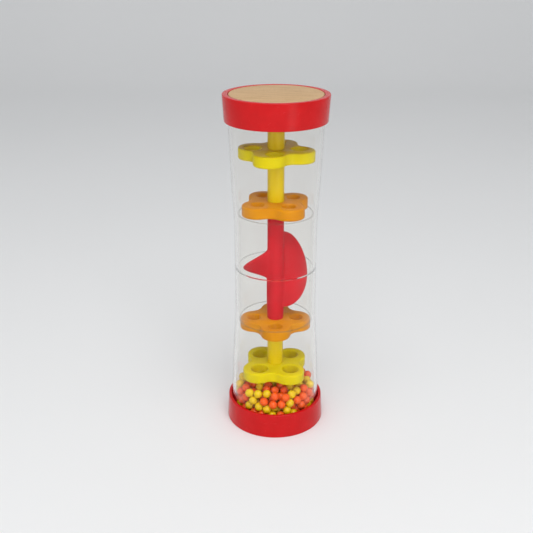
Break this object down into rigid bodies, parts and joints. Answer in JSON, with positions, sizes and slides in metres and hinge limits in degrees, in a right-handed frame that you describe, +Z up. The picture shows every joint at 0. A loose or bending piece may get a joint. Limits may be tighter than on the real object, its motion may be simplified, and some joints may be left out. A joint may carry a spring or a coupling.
{
  "type": "rainstick",
  "caption": "Clear flared tube with a red cap on each end; beads fall past lobed discs with holes and a twisted vane on a central rod.",
  "frame": {"origin": "centre of the lower end face, which is the base the stick stands on", "axes": "+Z up along the stick, -Y the front, +X to the right seen from the front"},
  "size_m": [0.059, 0.059, 0.2],
  "materials": {
    "natural_wood": "satin",
    "red_cap": "gloss",
    "clear_plastic": "clear gloss",
    "yellow_disc": "satin",
    "orange_disc": "satin",
    "yellow_rod": "satin",
    "red_vane": "satin",
    "yellow_bead": "gloss",
    "orange_bead": "gloss"
  },
  "bodies": {
    "root": {"lower_end_disc": "natural_wood", "lower_collar": "red_cap", "lower_tube_half": "clear_plastic", "upper_end_disc": "natural_wood", "upper_collar": "red_cap", "upper_tube_half": "clear_plastic", "joining_sleeve": "clear_plastic", "lower_yellow_disc": "yellow_disc", "lower_orange_disc": "orange_disc", "upper_yellow_disc": "yellow_disc", "upper_orange_disc": "orange_disc", "bottom_dowel": "yellow_rod", "lower_middle_dowel": "yellow_rod", "upper_middle_dowel": "yellow_rod", "top_dowel": "yellow_rod", "twist_vane": "red_vane", "bead_bed": "yellow_bead"},
    "bead_01": {"bead_01": "yellow_bead"},
    "bead_02": {"bead_02": "orange_bead"},
    "bead_03": {"bead_03": "yellow_bead"},
    "bead_04": {"bead_04": "orange_bead"},
    "bead_05": {"bead_05": "yellow_bead"},
    "bead_06": {"bead_06": "orange_bead"},
    "bead_07": {"bead_07": "yellow_bead"},
    "bead_08": {"bead_08": "orange_bead"},
    "bead_09": {"bead_09": "yellow_bead"},
    "bead_10": {"bead_10": "orange_bead"},
    "bead_11": {"bead_11": "yellow_bead"},
    "bead_12": {"bead_12": "orange_bead"},
    "bead_13": {"bead_13": "yellow_bead"},
    "bead_14": {"bead_14": "orange_bead"},
    "bead_15": {"bead_15": "yellow_bead"},
    "bead_16": {"bead_16": "orange_bead"},
    "bead_17": {"bead_17": "yellow_bead"},
    "bead_18": {"bead_18": "orange_bead"},
    "bead_19": {"bead_19": "yellow_bead"},
    "bead_20": {"bead_20": "orange_bead"},
    "bead_21": {"bead_21": "yellow_bead"},
    "bead_22": {"bead_22": "orange_bead"},
    "bead_23": {"bead_23": "yellow_bead"},
    "bead_24": {"bead_24": "orange_bead"}
  },
  "joints": [
    {"name": "bead_01_rise", "type": "slide", "parent": "root", "child": "bead_01", "axis": [0, 0, 1], "range_m": [0, 0.03445]},
    {"name": "bead_02_rise", "type": "slide", "parent": "root", "child": "bead_02", "axis": [0, 0, 1], "range_m": [0, 0.00415]},
    {"name": "bead_03_rise", "type": "slide", "parent": "root", "child": "bead_03", "axis": [0, 0, 1], "range_m": [0, 0.00415]},
    {"name": "bead_04_rise", "type": "slide", "parent": "root", "child": "bead_04", "axis": [0, 0, 1], "range_m": [0, 0.03445]},
    {"name": "bead_05_rise", "type": "slide", "parent": "root", "child": "bead_05", "axis": [0, 0, 1], "range_m": [0, 0.00415]},
    {"name": "bead_06_rise", "type": "slide", "parent": "root", "child": "bead_06", "axis": [0, 0, 1], "range_m": [0, 0.00415]},
    {"name": "bead_07_rise", "type": "slide", "parent": "root", "child": "bead_07", "axis": [0, 0, 1], "range_m": [0, 0.03445]},
    {"name": "bead_08_rise", "type": "slide", "parent": "root", "child": "bead_08", "axis": [0, 0, 1], "range_m": [0, 0.00415]},
    {"name": "bead_09_rise", "type": "slide", "parent": "root", "child": "bead_09", "axis": [0, 0, 1], "range_m": [0, 0.00415]},
    {"name": "bead_10_rise", "type": "slide", "parent": "root", "child": "bead_10", "axis": [0, 0, 1], "range_m": [0, 0.03445]},
    {"name": "bead_11_rise", "type": "slide", "parent": "root", "child": "bead_11", "axis": [0, 0, 1], "range_m": [0, 0.00415]},
    {"name": "bead_12_rise", "type": "slide", "parent": "root", "child": "bead_12", "axis": [0, 0, 1], "range_m": [0, 0.00415]},
    {"name": "bead_13_rise", "type": "slide", "parent": "root", "child": "bead_13", "axis": [0, 0, 1], "range_m": [0, 0.03445]},
    {"name": "bead_14_rise", "type": "slide", "parent": "root", "child": "bead_14", "axis": [0, 0, 1], "range_m": [0, 0.00415]},
    {"name": "bead_15_rise", "type": "slide", "parent": "root", "child": "bead_15", "axis": [0, 0, 1], "range_m": [0, 0.03445]},
    {"name": "bead_16_rise", "type": "slide", "parent": "root", "child": "bead_16", "axis": [0, 0, 1], "range_m": [0, 0.00415]},
    {"name": "bead_17_rise", "type": "slide", "parent": "root", "child": "bead_17", "axis": [0, 0, 1], "range_m": [0, 0.03445]},
    {"name": "bead_18_rise", "type": "slide", "parent": "root", "child": "bead_18", "axis": [0, 0, 1], "range_m": [0, 0.00415]},
    {"name": "bead_19_rise", "type": "slide", "parent": "root", "child": "bead_19", "axis": [0, 0, 1], "range_m": [0, 0.03445]},
    {"name": "bead_20_rise", "type": "slide", "parent": "root", "child": "bead_20", "axis": [0, 0, 1], "range_m": [0, 0.00415]},
    {"name": "bead_21_rise", "type": "slide", "parent": "root", "child": "bead_21", "axis": [0, 0, 1], "range_m": [0, 0.00415]},
    {"name": "bead_22_rise", "type": "slide", "parent": "root", "child": "bead_22", "axis": [0, 0, 1], "range_m": [0, 0.00415]},
    {"name": "bead_23_rise", "type": "slide", "parent": "root", "child": "bead_23", "axis": [0, 0, 1], "range_m": [0, 0.00415]},
    {"name": "bead_24_rise", "type": "slide", "parent": "root", "child": "bead_24", "axis": [0, 0, 1], "range_m": [0, 0.00415]}
  ]
}
